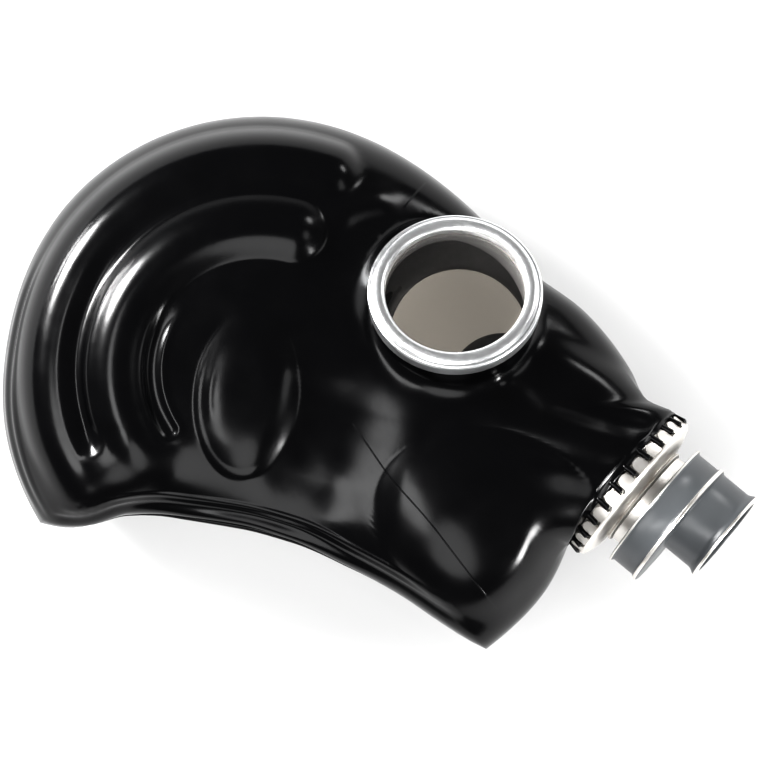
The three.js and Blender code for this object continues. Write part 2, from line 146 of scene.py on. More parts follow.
# %% Curve through the sections
OUTLINE_CORNERS = {"nozzle_top", "nape", "chin_tip", "nozzle_bottom"}
is_corner = np.array([name in OUTLINE_CORNERS for name in SECTIONS])


def angle_of(row):
    return section_table["angle"][row % ROWS] + 360 * (row // ROWS)


def slope_at(column, row, side):
    """Slope of a column at a row, one-sided where the outline has a corner."""
    sharp = is_corner[row % ROWS] & (column == "reach")
    before = np.where(sharp & (side > 0), row, row - 1)
    after = np.where(sharp & (side < 0), row, row + 1)
    rise = section_table[column][after % ROWS] - section_table[column][before % ROWS]
    return rise / (angle_of(after) - angle_of(before))


def section(column, angle):
    """A column at any angles, on a smooth closed curve through the rows."""
    first = section_table["angle"][0]
    wrapped = first + np.mod(angle - first, 360)
    row = np.searchsorted(section_table["angle"], wrapped, side="right") - 1
    span = angle_of(row + 1) - angle_of(row)
    u = (wrapped - angle_of(row)) / span
    here = section_table[column][row]
    rise = section_table[column][(row + 1) % ROWS] - here
    start = slope_at(column, row, 1) * span
    end = slope_at(column, row + 1, -1) * span
    return here + u * (start + u * (3 * rise - 2 * start - end + u * (start + end - 2 * rise)))


print("outline reach at the crown:", float(section("reach", np.array([90.0]))[0]), "mm")

# %% [markdown]
# The valve's axis leaves the snout turned down and a little up from the floor. Its three directions place
# the nozzle, the crown, the neck and the valve box.

# %% Valve directions
NOZZLE = {"centre": np.array([100.2, -39.9, 44.0]), "radius": 35.0, "bore": 32.6, "lip": 4.0}
NOZZLE_TURN = math.radians(-39.5)
NOZZLE_RISE = math.radians(4)
valve_axis = np.array([
    math.cos(NOZZLE_RISE) * math.cos(NOZZLE_TURN),
    math.cos(NOZZLE_RISE) * math.sin(NOZZLE_TURN),
    math.sin(NOZZLE_RISE)])
valve_side = np.array([-math.sin(NOZZLE_TURN), math.cos(NOZZLE_TURN), 0.0])
valve_up = np.cross(valve_axis, valve_side)
valve_frame = (NOZZLE["centre"], valve_axis, valve_side, valve_up)
print("valve axis", valve_axis.round(4))

# %% [markdown]
# Stations run round the outline: over the crown, along the open hem, up the chin and across the nozzle.
# More of them stand at the face, where the eyepiece and the folds need a finer net. At the hem the walls
# part by the gap, and the left one reaches a step further out, so that it shows under the right one.

# %% Stations round the outline
STEPS = {"top": 170, "hem": 90, "chin": 26, "nozzle": 44}
FACE_CROWDING = 1.2
HEM_GAP = 29.0
HEM_STEP = {"right": 0.0, "left": 2.4}


def outline_points(angle):
    reach = section("reach", angle)
    turn = np.radians(angle)
    x = EAR[0] + reach * np.cos(turn)
    y = EAR[1] + reach * np.sin(turn)
    return np.stack([x, y, section("edge", angle)], 1)


def stretch(start, end, steps, crowding=1.0):
    """Angles of the stations from one named section on to another."""
    share = (np.arange(steps) / steps) ** crowding
    first = SECTIONS[start][0]
    return first + np.mod(SECTIONS[end][0] - first, 360) * share


def nozzle_rim(turn, upward):
    across = np.outer(np.cos(turn), valve_side)
    up = np.outer(np.sin(turn), valve_up) * upward
    return NOZZLE["centre"] + NOZZLE["radius"] * (across + up)


top_angles = stretch("nozzle_top", "nape", STEPS["top"], FACE_CROWDING)
hem_angles = stretch("nape", "chin_tip", STEPS["hem"])
chin_angles = stretch("chin_tip", "nozzle_bottom", STEPS["chin"])
nozzle_angles = stretch("nozzle_bottom", "nozzle_top", STEPS["nozzle"])
rim_turns = np.pi * (1 - np.arange(STEPS["nozzle"]) / STEPS["nozzle"])
hem_half = HEM_GAP * np.sqrt(np.sin(np.pi * np.arange(STEPS["hem"]) / STEPS["hem"]))
hem_lift = np.outer(hem_half, [0, 0, 1])
hem_turn = np.radians(hem_angles)
hem_rays = np.stack([np.cos(hem_turn), np.sin(hem_turn), 0 * hem_turn], 1)
hem_out = hem_rays * (hem_half / HEM_GAP)[:, None] ** 2
edges = {}
for side, sign in (("right", 1), ("left", -1)):
    top = outline_points(top_angles)
    top[0] = nozzle_rim(np.zeros(1), 1)[0]
    hem = outline_points(hem_angles) + sign * hem_lift + HEM_STEP[side] * hem_out
    edges[side] = np.concatenate([top, hem, outline_points(chin_angles), nozzle_rim(rim_turns, sign)])
station_angles = np.concatenate([top_angles, hem_angles, chin_angles, nozzle_angles])
COUNT = len(station_angles)
hem_start = STEPS["top"]
chin_start = hem_start + STEPS["hem"]
nozzle_start = chin_start + STEPS["chin"]
station_open = np.zeros(COUNT, bool)
station_open[hem_start + 1:chin_start] = True
station_open[nozzle_start + 1:] = True
print(COUNT, "stations")

# %% [markdown]
# The moulded relief is what the eye reads first, and each form of it is a short formula of the distance
# to an arc, a line or an ellipse, with a row of sizes, as in the solids. These helpers measure such
# distances and turn them into soft steps and rounded ridges.

# %% Distances and soft steps
RIB_ROUNDNESS = 1.3


def ease(value):
    """A soft step from 0 to 1."""
    share = np.clip(value, 0, 1)
    return share * share * (3 - 2 * share)


def soft_window(turn, row):
    """1 between a row's start and end angles, fading to 0 at both."""
    return ease((turn - row["start"]) / row["fade"]) * ease((row["end"] - turn) / row["fade"])


def middle_of(row):
    return (row["start"] + row["end"]) / 2


def ridge(distance, half_width):
    share = np.minimum(np.abs(distance) / half_width, 1)
    return (1 - share ** 2) ** RIB_ROUNDNESS


def soft_ridge(distance, half_width):
    """A ridge that runs out into its surroundings without an edge."""
    return np.clip(1 - (distance / half_width) ** 2, 0, 1) ** 2


def fine_line(distance, width):
    return np.exp(-(distance / width) ** 2)


def soft_max(first, second, blend):
    return (first + second + np.sqrt((first - second) ** 2 + blend ** 2) - blend) / 2


def turn_about(centre, x, y, middle=180):
    """Angle about a centre in degrees, counted within half a turn of a middle angle."""
    turn = np.degrees(np.arctan2(y - centre[1], x - centre[0]))
    return np.mod(turn - middle + 180, 360) - 180 + middle


def arc_distance(centre, arc, x, y):
    """Distance to an arc with round ends."""
    turn = turn_about(centre, x, y, middle_of(arc))
    nearest = np.radians(np.clip(turn, arc["start"], arc["end"]))
    on_x = centre[0] + arc["radius"] * np.cos(nearest)
    on_y = centre[1] + arc["radius"] * np.sin(nearest)
    return np.hypot(x - on_x, y - on_y)


def rows_of(columns, table):
    return [dict(zip(columns, row)) for row in table.values()]


print("a soft step is at", float(ease(0.25)), "after a quarter of its way")

# %% [markdown]
# Two long crescents lie round the ear. Low on the neck they run together in one broad foot, so the groove
# between them ends in a round tip. Fine lips edge the grooves.

# %% Crescents round the ear
CRESCENT_COLUMNS = ("radius", "start", "end", "half_width", "height")
CRESCENTS = {
    "outer": (90, 70, 250, 13, 5.5),
    "inner": (60.5, 76, 250, 14, 5.5),
}
FOOT = {"radius": 76.5, "half_width": 34, "height": 4.6, "start": 197, "rise": 15, "end": 232, "fall": 28}
FOOT_BLEND = 1.5
GROOVE_COLUMNS = ("radius", "start", "end", "half_width", "height", "lip", "lip_width", "lip_height")
GROOVES = {
    "between": (76.8, 100, 204, 3.2, -0.9, 5.6, 1.5, 0.45),
    "inside": (45.0, 115, 213, 4.0, -1.2, 4.6, 1.5, 0.4),
}
LIPS_FROM = 138
LIP_FADE = 22


def crescents(x, y):
    turn = turn_about(EAR, x, y)
    radius = np.hypot(x - EAR[0], y - EAR[1])
    foot = ridge(radius - FOOT["radius"], FOOT["half_width"])
    height = FOOT["height"] * foot * ease((turn - FOOT["start"]) / FOOT["rise"])
    for row in rows_of(CRESCENT_COLUMNS, CRESCENTS):
        crest = row["height"] * ridge(arc_distance(EAR, row, x, y), row["half_width"])
        height = soft_max(height, crest, FOOT_BLEND * np.minimum(height, 1))
    height *= ease((FOOT["end"] - turn) / FOOT["fall"])
    showing = ease((turn - LIPS_FROM) / LIP_FADE)
    for row in rows_of(GROOVE_COLUMNS, GROOVES):
        distance = arc_distance(EAR, row, x, y)
        height += row["height"] * ridge(distance, row["half_width"]) * showing
        height += row["lip_height"] * fine_line(distance - row["lip"], row["lip_width"]) * showing
    return height


above_ear = EAR[1:2] + CRESCENTS["outer"][0]
print("outer crescent", float(crescents(EAR[:1], above_ear)[0]), "mm high above the ear")

# %% [markdown]
# The ear cup is an oval pad with a crisp lip behind and below. The muzzle is a dome with a clear foot
# line. A brow roll lies over the eye, soft folds stretch from the eye to the nozzle, and the cheek is a
# shallow hollow.

# %% Pads, rolls and folds
PAD_COLUMNS = ("x", "y", "long", "short", "turn", "height", "flatness", "edge_power")
PADS = {
    "ear_cup": (-57, -4, 36, 22, 84, 4.2, 3.4, 1.2),
    "muzzle": (48, -61, 54, 40, -25, 9.0, 2.6, 1.1),
}
LIP_COLUMNS = ("radius", "half_width", "start", "end", "fade", "height")
EAR_LIPS = {
    "edge": (0.95, 0.08, 45, 225, 40, 0.4),
    "inner_line": (0.72, 0.09, 62, 125, 22, 0.25),
}
BROW = {
    "x": 0, "y": 46.7, "radius": 30.5, "start": 75, "end": 145, "fade": 22, "half_width": 9, "height": 1.3}
FOLD_COLUMNS = ("from_x", "from_y", "to_x", "to_y", "half_width", "height")
FOLDS = {
    "upper_fold": (48, 22, 138, -24, 12, 2.6),
    "lower_fold": (26, -8, 134, -34, 11, 2.2),
    "middle_crease": (66, -5, 104, -22, 6, -0.5),
    "under_fold": (34, 3, 68, -9, 6, 1.2),
    "cheek_hollow": (-8, 18, -31, -70, 32, -4.6),
}
FOLD_ENDS = 0.32


def pad_place(pad, x, y):
    """Share of the way from a pad's middle to its edge, and the angle round it from its long axis."""
    turn = math.radians(pad["turn"])
    dx = x - pad["x"]
    dy = y - pad["y"]
    along = (dx * math.cos(turn) + dy * math.sin(turn)) / pad["long"]
    across = (dy * math.cos(turn) - dx * math.sin(turn)) / pad["short"]
    return np.hypot(along, across), np.mod(np.degrees(np.arctan2(across, along)), 360)


def fold_height(fold, x, y):
    """A spindle along a line, highest at its middle."""
    line = np.array([fold["to_x"] - fold["from_x"], fold["to_y"] - fold["from_y"]])
    length = np.hypot(*line)
    dx = x - fold["from_x"]
    dy = y - fold["from_y"]
    share = (dx * line[0] + dy * line[1]) / length ** 2
    across = (dy * line[0] - dx * line[1]) / length
    ends = ease(share / FOLD_ENDS) * ease((1 - share) / FOLD_ENDS)
    return fold["height"] * soft_ridge(across, fold["half_width"]) * ends


print(len(PADS), "pads,", len(EAR_LIPS), "lips and", len(FOLDS), "folds")

# %% [markdown]
# All these forms add up to one height over the plain wall. At the chin the muzzle's dome runs out before
# it reaches the outline, or it would bulge past it.

# %% All of the relief
CHIN_FADE = {"start": 296, "end": 336, "fade": 9, "reach": 23.0}


def relief(x, y, from_edge):
    height = crescents(x, y)
    brow_centre = (BROW["x"], BROW["y"])
    brow_turn = turn_about(brow_centre, x, y, middle_of(BROW))
    brow_share = soft_ridge(arc_distance(brow_centre, BROW, x, y), BROW["half_width"])
    height += BROW["height"] * brow_share * soft_window(brow_turn, BROW)
    for fold in rows_of(FOLD_COLUMNS, FOLDS):
        height += fold_height(fold, x, y)
    at_chin = soft_window(turn_about(EAR, x, y, middle_of(CHIN_FADE)), CHIN_FADE)
    pad_share = 1 - at_chin * (1 - ease(from_edge / CHIN_FADE["reach"]))
    for pad in rows_of(PAD_COLUMNS, PADS):
        inside = np.clip(1 - pad_place(pad, x, y)[0] ** pad["flatness"], 0, 1)
        height += pad["height"] * inside ** pad["edge_power"] * pad_share
    radius, turn = pad_place(dict(zip(PAD_COLUMNS, PADS["ear_cup"])), x, y)
    for lip in rows_of(LIP_COLUMNS, EAR_LIPS):
        line = ridge(radius - lip["radius"], lip["half_width"])
        height += lip["height"] * line * soft_window(turn, lip)
    return height


muzzle_top = relief(*np.array(PADS["muzzle"][:2], float).reshape(2, 1), CHIN_FADE["reach"])
print("relief at the muzzle's middle:", float(muzzle_top[0].round(2)), "mm")

# %% [markdown]
# A hem bead runs along the neck opening, with a fine groove and a fine line above it, and seam lines
# follow the back of the head. They lie at a set distance from the edge, so they are worked out from it.

# %% Hem and seam lines
EDGE_COLUMNS = ("place", "half_width", "height")
HEM_LINES = {"bead": (1.7, 1.9, 0.8), "groove": (4.6, 1.1, -0.4), "line": (8.4, 1.2, 0.4)}
SEAM_LINES = {"edge_line": (2.2, 1.2, 0.6), "second_line": (5.2, 1.3, 0.5)}
SEAM_STRETCH = {"start": 150, "end": 218, "fade": 14}
HEM_FADE = 9.0


def line_heights(rows, distance):
    return sum(row["height"] * ridge(distance - row["place"], row["half_width"])
               for row in rows_of(EDGE_COLUMNS, rows))


def hem_distance(points, side):
    """Distance in plan from each point to the hem of its own wall."""
    hem = edges[side][hem_start:chin_start + 1, :2]
    first = hem[:-1]
    line = np.diff(hem, axis=0)
    offset = points[:, None, :2] - first
    share = np.clip((offset * line).sum(2) / (line ** 2).sum(1), 0, 1)
    return np.linalg.norm(offset - share[..., None] * line, axis=2).min(1)


def hem_ends(side):
    """How much of the hem's lines shows at each station: none at the hem's two corners."""
    hem = edges[side][hem_start:chin_start + 1]
    run = np.concatenate([[0], np.cumsum(np.linalg.norm(np.diff(hem, axis=0), axis=1))])
    showing = np.zeros(COUNT)
    showing[hem_start:chin_start + 1] = ease(np.minimum(run, run[-1] - run) / HEM_FADE)
    return showing


print("the hem's lines show in full at", int((hem_ends("right") == 1).sum()), "stations")

# %% [markdown]
# The outline has corners at the nozzle, the nape and the chin. Inside them the walls follow a softened
# outline, or the corners would run across the rubber as creases. The same is done for how far the walls
# part there.

# %% Softened outline
OUTLINE_SOFTNESS = 5


def turn_between(first, second):
    return np.mod(first - second + 180, 360) - 180


def softened(values, angles, softness):
    """Values at angles round a centre, smoothed over some degrees."""
    gap = turn_between(angles[:, None], angles)
    spacing = np.abs(turn_between(np.roll(angles, -1), np.roll(angles, 1)))
    weights = np.exp(-0.5 * (gap / softness) ** 2) * spacing
    return weights @ values / weights.sum(1)


plain_reach = section("reach", station_angles)
soft_change = np.abs(softened(plain_reach, station_angles, OUTLINE_SOFTNESS) - plain_reach).max()
print("softening moves the outline by up to", float(soft_change.round(1)), "mm")

# %% [markdown]
# Each wall is a net of points on lines from the ear outward, crowded towards the outline so that the
# hem's fine lines hold. It swells to the table's heights on the way and closes in a round edge, but stays
# parted at the hem and the nozzle. The hold powers say how late each line goes over from the softened
# outline to the true one, and near the nozzle's lower corner that is later still.

# %% Walls of the hood
EAR_SWELL = {"right": 44.0, "left": 50.0}
SWELL_SOFTNESS = 8
RIM_CROWDING = 1.25
EDGE_ROUNDNESS = 5
CORNER_HOLD = 6
NOZZLE_HOLD = {"more": 9, "within": 12}
OPENING_HOLD = 24
COARSE = 8


def wall_net(side, lines):
    """Points of one plain wall, with each one's distance to the outline along its line."""
    share = (1 - (1 - np.arange(1, lines + 1) / lines) ** RIM_CROWDING)[:, None]
    sign = 1 if side == "right" else -1
    edge = edges[side]
    middle = section("edge", station_angles)
    swells = [softened(section(side + place, station_angles), station_angles, SWELL_SOFTNESS)
              for place in ("_mid", "_rim")]
    mid, rim = np.array(swells) - EAR_SWELL[side]
    # Second and fourth powers carry the swell through mid at half way and rim at the edge.
    square = (16 * mid - rim) / 3
    swell = EAR_SWELL[side] + square * share ** 2 + (rim - square) * share ** 4
    nozzle_end = turn_between(station_angles, SECTIONS["nozzle_bottom"][0])
    hold = share ** (CORNER_HOLD + NOZZLE_HOLD["more"] * fine_line(nozzle_end, NOZZLE_HOLD["within"]))
    opening = (edge[:, 2] - middle) ** 2
    soft_opening = softened(opening, station_angles, OUTLINE_SOFTNESS)
    parted = soft_opening + (opening - soft_opening) * share ** OPENING_HOLD
    closing = share ** EDGE_ROUNDNESS
    height = np.sqrt(swell ** 2 * (1 - closing) + parted * closing)
    line = edge[:, :2] - EAR[:2]
    reach = np.hypot(line[:, 0], line[:, 1])
    drift = turn_between(np.degrees(np.arctan2(line[:, 1], line[:, 0])), station_angles)
    turn = np.radians(station_angles + drift * hold)
    soft_reach = softened(reach, station_angles, OUTLINE_SOFTNESS)
    out = (soft_reach + (reach - soft_reach) * hold) * share
    x = EAR[0] + out * np.cos(turn)
    y = EAR[1] + out * np.sin(turn)
    z = EAR[2] + (middle - EAR[2]) * share ** 2 + sign * height
    return np.stack([x, y, z], 2), reach - out


coarse_heights = wall_net("right", COARSE)[0][..., 2]
print("right wall from", coarse_heights.min().round(1), "to", coarse_heights.max().round(1), "mm high")

# %% [markdown]
# The two walls become one net. They share their edge points where the hood is closed, and each keeps its
# own where the hem and the nozzle are open. A fan of triangles closes each wall at the ear.

# %% Joining the walls
def skin_net(lines):
    """Both plain walls as one net: points, faces, distances to the outline, and the net's indices."""
    points = []
    from_edge = []
    index = {}
    faces = []
    total = 0
    for side in ("right", "left"):
        net, distance = wall_net(side, lines[side])
        pole = np.array([[EAR[0], EAR[1], EAR[2] + (1 if side == "right" else -1) * EAR_SWELL[side]]])
        points += [pole, net.reshape(-1, 3)]
        from_edge += [distance.max(keepdims=True).ravel(), distance.ravel()]
        grid = total + 1 + np.arange(lines[side] * COUNT).reshape(lines[side], COUNT)
        if side == "left":
            grid[-1] = np.where(station_open, grid[-1], index["right"][-1])
        index[side] = grid
        after = np.roll(grid, -1, axis=1)
        ring = np.stack([grid[:-1], grid[1:], after[1:], after[:-1]], -1).reshape(-1, 4)
        fan = np.stack([np.full(COUNT, total), grid[0], after[0]], -1)
        if side == "left":
            ring = ring[:, ::-1]
            fan = fan[:, ::-1]
        faces += fan.tolist() + ring.tolist()
        total += 1 + lines[side] * COUNT
    return np.concatenate(points), faces, np.concatenate(from_edge), index


print(len(skin_net({"right": COARSE, "left": COARSE})[1]), "faces in a coarse skin")

# %% [markdown]
# The relief lifts each point straight off the plain skin, so a rib keeps its height on a steep wall too.
# What would then sink into the floor is pressed flat on it, with a soft bend.

# %% Raising the relief
RIM_FADE = 3.0
FLOOR_SOFTNESS = 6.0
TINY = 1e-9


def point_normals(points, faces):
    normals = np.zeros_like(points)
    for size in (3, 4):
        chosen = np.array([face for face in faces if len(face) == size])
        first = points[chosen[:, 1]] - points[chosen[:, 0]]
        second = points[chosen[:, 2]] - points[chosen[:, 0]]
        if size == 4:
            first = points[chosen[:, 2]] - points[chosen[:, 0]]
            second = points[chosen[:, 3]] - points[chosen[:, 1]]
        facing = np.cross(first, second)
        for corner in range(size):
            np.add.at(normals, chosen[:, corner], facing)
    return normals / np.maximum(np.linalg.norm(normals, axis=1, keepdims=True), TINY)


def rest_on_floor(z):
    soft = (z + FLOOR_SOFTNESS) ** 2 / (4 * FLOOR_SOFTNESS)
    return np.where(z >= FLOOR_SOFTNESS, z, np.where(z <= -FLOOR_SOFTNESS, 0, soft))


def raised_skin(lines):
    points, faces, from_edge, index = skin_net(lines)
    lift = relief(points[:, 0], points[:, 1], from_edge) * np.clip(from_edge / RIM_FADE, 0, 1)
    seam_share = soft_window(station_angles, SEAM_STRETCH)
    for side in ("right", "left"):
        net = index[side]
        lift[net] += line_heights(SEAM_LINES, from_edge[net]) * seam_share
        to_hem = hem_distance(points[net.ravel()], side).reshape(net.shape)
        lift[net] += line_heights(HEM_LINES, to_hem) * hem_ends(side)
    raised = points + point_normals(points, faces) * lift[:, None]
    raised[:, 2] = rest_on_floor(raised[:, 2])
    return raised, faces, index


print("a point that touches the floor comes to rest", float(rest_on_floor(0.0)), "mm over it")

# %% [markdown]
# Each eyepiece has a centre, an axis and two directions across it. The right one leans with the face, and
# the left one lies flat on the floor.

# %% Eye frames
RIGHT_EYE = np.array([29.6, 37.5, 87.0])
RIGHT_LEAN = math.radians(28.8)
right_axis = np.array([0.0, math.sin(RIGHT_LEAN), math.cos(RIGHT_LEAN)])
left_axis = np.array([0.0, 0.0, -1.0])
across = np.array([1.0, 0.0, 0.0])
eye_frames = {
    "right": (RIGHT_EYE, right_axis, across, np.cross(right_axis, across)),
    "left": (LEFT_EYE, left_axis, across, np.cross(left_axis, across)),
}
print("the right eyepiece leans", round(math.degrees(RIGHT_LEAN), 1), "degrees")

# %% [markdown]
# A rubber cup stands out of each wall and carries an eyepiece. A round hole is cut in the net, its edge
# is drawn onto a circle, and a fillet climbs from there to the cup's rim. Rays along the eye's axis find
# the wall's height and slope at the circle, so that the fillet leaves the wall smoothly all the way
# round.

# %% Eye cups
GAP = 0.3
CUP = {"radius": 33.4, "bore": 29.4, "recess": 31.6, "shelf": 3.6, "collar": 8.0}
CUP_COLUMNS = ("radius", "hole", "rise", "brim", "dip", "rim")
CUPS = {
    "outer_right": (CUP["radius"], 40.0, 7.0, -5.4, 2.0, -GAP),
    "outer_left": (CUP["radius"], 39.0, 4.0, -5.4, 3.0, -GAP),
    "inner_right": (CUP["bore"], 35.0, 3.0, -6.5, 1.0, -CUP["shelf"]),
    "inner_left": (CUP["bore"], 35.0, 3.0, -6.5, 1.0, -CUP["shelf"]),
}
FILLET_STEPS = 12
RAY_START = 60.0
SLOPE_STEP = 3.0
RING_SOFTNESS = 3.0


def wall_heights(tree, eye, turns, radius):
    """Height of a wall along an eye's axis, at points on a circle round it."""
    centre, axis, side, up = eye
    heights = np.full(len(turns), np.nan)
    for i, turn in enumerate(turns):
        start = centre + axis * RAY_START + radius * (math.cos(turn) * side + math.sin(turn) * up)
        hit = tree.ray_cast(Vector(start), Vector(-axis))[0]
        if hit is not None:
            heights[i] = (np.array(hit) - centre) @ axis
    missed = np.isnan(heights)
    heights[missed] = np.interp(turns[missed], turns[~missed], heights[~missed], period=2 * np.pi)
    return heights


def tube_faces(net):
    """Four-sided faces between the closed rows of a net."""
    after = np.roll(net, -1, axis=1)
    return np.stack([net[:-1], after[:-1], after[1:], net[1:]], -1).reshape(-1, 4).tolist()


def cut_cup(points, faces, index, skin, side):
    """Cuts a hole in one wall of a skin and fills it with a cup. Returns the skin's points and faces."""
    cup = dict(zip(CUP_COLUMNS, CUPS[skin + "_" + side]))
    eye = eye_frames[side]
    centre, axis, across_eye, up = eye
    tree = BVHTree.FromPolygons(points.tolist(), faces)
    offset = points - centre
    place = np.stack([offset @ across_eye, offset @ up], 1)
    own_wall = np.zeros(len(points), bool)
    own_wall[np.unique(index[side])] = True
    dropped = own_wall & (np.hypot(place[:, 0], place[:, 1]) < cup["hole"])
    kept = [face for face in faces if not dropped[face].any()]
    touched = {corner for face in faces if dropped[face].any() for corner in face}
    rim = np.array([corner for corner in touched if not dropped[corner]])
    turns = np.arctan2(place[rim, 1], place[rim, 0])
    order = np.argsort(turns)
    rim = rim[order]
    turns = turns[order]
    degrees = np.degrees(turns)
    foot = softened(wall_heights(tree, eye, turns, cup["hole"]), degrees, RING_SOFTNESS)
    beyond = softened(wall_heights(tree, eye, turns, cup["hole"] + SLOPE_STEP), degrees, RING_SOFTNESS)
    slope = (beyond - foot) / SLOPE_STEP
    bend = np.minimum(foot - slope * (cup["hole"] - cup["radius"]), cup["brim"] - cup["dip"])
    crest = np.minimum(bend + cup["rise"], cup["brim"])
    share = np.linspace(0, 1, FILLET_STEPS + 1)[:, None]
    radii = cup["hole"] * (1 - share) ** 2 + cup["radius"] * (1 - (1 - share) ** 2) + 0 * turns
    heights = foot * (1 - share) ** 2 + 2 * bend * share * (1 - share) + crest * share ** 2
    radii = np.vstack([radii, np.full_like(turns, cup["radius"])])
    heights = np.vstack([heights, np.full_like(turns, cup["rim"])])
    out = np.outer(np.cos(turns), across_eye) + np.outer(np.sin(turns), up)
    rings = centre + heights[..., None] * axis + radii[..., None] * out
    points[rim] = rings[0]
    made = len(points) + np.arange(rings[1:, :, 0].size).reshape(len(rings) - 1, -1)
    filled = tube_faces(np.vstack([rim, made]))
    print(skin, side, "cup: foot", foot.min().round(1), "to", foot.max().round(1), "mm along its axis")
    return np.vstack([points, rings[1:].reshape(-1, 3)]), kept + filled


print(len(CUPS), "cups to cut, two in each skin")

# %% [markdown]
# Turned pieces share one function: each loop is a circle with its radius, its place along the axis and,
# for the off-centre port, how far it is set aside.

# %% Turning loops round an axis
def turned(loops, frame_of, segments=96, closed=True):
    centre, axis, side, up = frame_of
    turn = 2 * np.pi * np.arange(segments) / segments
    circle = np.outer(np.cos(turn), side) + np.outer(np.sin(turn), up)
    rows = [row if len(row) == 3 else (*row, 0) for row in loops]
    points = [centre + place * axis + aside * side + radius * circle for radius, place, aside in rows]
    net = np.arange(len(rows) * segments).reshape(len(rows), segments)
    if closed:
        net = np.vstack([net, net[:1]])
    return np.concatenate(points), tube_faces(net)


plain_tube = turned(((NOZZLE["radius"], 0), (NOZZLE["radius"], NOZZLE["lip"])), valve_frame, closed=False)
print("a plain tube has", len(plain_tube[1]), "faces")

# %% [markdown]
# Now the hood itself: the outer skin, the inner skin one wall thickness inside it, the strips that join
# them along the hem and the nozzle, the cups' collars and the nozzle's lip. The rubber was moulded in one
# piece, so they make one mesh.

# %% Hood surfaces
OUTER_LINES = {"right": 140, "left": 56}
INNER_LINES = {"right": 30, "left": 24}
WALL = 2.0
INSET = 0.1
LIP_ROUND = {"along": 0.8, "inward": 0.5}

hood = Parts()
outer_points, outer_faces, outer_index = raised_skin(OUTER_LINES)
coarse_points, inner_faces, inner_index = raised_skin(INNER_LINES)
inner_points = coarse_points - WALL * point_normals(coarse_points, inner_faces)
for side in ("right", "left"):
    outer_points, outer_faces = cut_cup(outer_points, outer_faces, outer_index, "outer", side)
    inner_points, inner_faces = cut_cup(inner_points, inner_faces, inner_index, "inner", side)
hood.add(outer_points, outer_faces)
inner_offset = hood.count
hood.add(inner_points, [face[::-1] for face in inner_faces])
matt_ranges = [(len(outer_faces), len(hood.faces))]
for side in ("right", "left"):
    outer_rim = outer_index[side][-1]
    inner_rim = inner_index[side][-1] + inner_offset
    for s in range(COUNT):
        after = (s + 1) % COUNT
        if station_open[s] or station_open[after]:
            strip = [outer_rim[s], inner_rim[s], inner_rim[after], outer_rim[after]]
            hood.faces.append([int(i) for i in (strip if side == "right" else strip[::-1])])
    collar = [
        (CUP["radius"] - INSET, -CUP["collar"]), (CUP["radius"] - INSET, -GAP),
        (CUP["recess"], -GAP), (CUP["recess"], -CUP["shelf"]),
        (CUP["bore"] + INSET, -CUP["shelf"]), (CUP["bore"] + INSET, -CUP["collar"])]
    collar_start = len(hood.faces)
    hood.add(*turned(collar, eye_frames[side]))
    matt_ranges.append((collar_start, len(hood.faces)))
lip = [
    (NOZZLE["radius"] - INSET, -NOZZLE["lip"]), (NOZZLE["radius"], -LIP_ROUND["along"]),
    (NOZZLE["radius"] - LIP_ROUND["inward"], 0), (NOZZLE["bore"], 0), (NOZZLE["bore"], -NOZZLE["lip"])]
hood.add(*turned(lip, valve_frame))
print("skin:", len(outer_faces), "outer and", len(inner_faces), "inner faces, lowest points",
      outer_points[:, 2].min().round(2), inner_points[:, 2].min().round(2), "mm")

# %% [markdown]
# As the hood lies on its left side, that wall pushes a soft fold inward beside its eyepiece. It shows
# only through the right pane, so a low dome turned round an upright axis is enough.

# %% Inner fold
FOLD_DOME = {"radius": 23.0, "height": 7.0, "rows": 10, "sides": 48, "first_turn": 0.02}
FOLD_CENTRE = np.array([50.0, -2.0, 8.5])
upright = np.array([0.0, 0.0, 1.0])
fold_frame = (FOLD_CENTRE, upright, across, np.cross(upright, across))
fold_turns = np.linspace(FOLD_DOME["first_turn"], np.pi / 2, FOLD_DOME["rows"])
fold_radii = FOLD_DOME["radius"] * np.sin(fold_turns)
fold_rises = FOLD_DOME["height"] * np.cos(fold_turns)
fold_loops = np.stack([fold_radii, fold_rises], 1)
fold_start = len(hood.faces)
hood.add(*turned(fold_loops[::-1], fold_frame, FOLD_DOME["sides"], closed=False))
matt_ranges.append((fold_start, len(hood.faces)))
print("inner fold", FOLD_DOME["height"], "mm high")

# %% [markdown]
# The mould's parting lines are fine raised threads on the skin, far finer than the net, so each is a thin
# bead laid along a smooth path. A ray from above finds the skin under each point of the path.

# %% Parting lines
PARTING_PATHS = {
    "cheek": ((-13.0, -16.4), (2.1, -38.6), (18.5, -56.7), (39.5, -84.4), (47.5, -94.1)),
    "brow": ((17.2, 84.0), (12.5, 79.0), (8.0, 73.5)),
}
BEAD = {"width": 0.9, "height": 0.28, "sunk": 0.1}
BEAD_STEPS = 90
PATH_SMOOTHING = 30
ABOVE_SKIN = 3 * EAR[2]
BEAD_ROWS = ((-0.5, -1.0), (-0.25, 0.7), (0.0, 1.0), (0.25, 0.7), (0.5, -1.0))


def smooth_path(corners, steps):
    corners = np.array(corners)
    length = np.concatenate([[0], np.cumsum(np.hypot(*np.diff(corners, axis=0).T))])
    even = np.linspace(0, length[-1], steps)
    path = np.stack([np.interp(even, length, corners[:, k]) for k in (0, 1)], 1)
    for smoothing in range(PATH_SMOOTHING):
        path[1:-1] = (path[:-2] + 2 * path[1:-1] + path[2:]) / 4
    return path


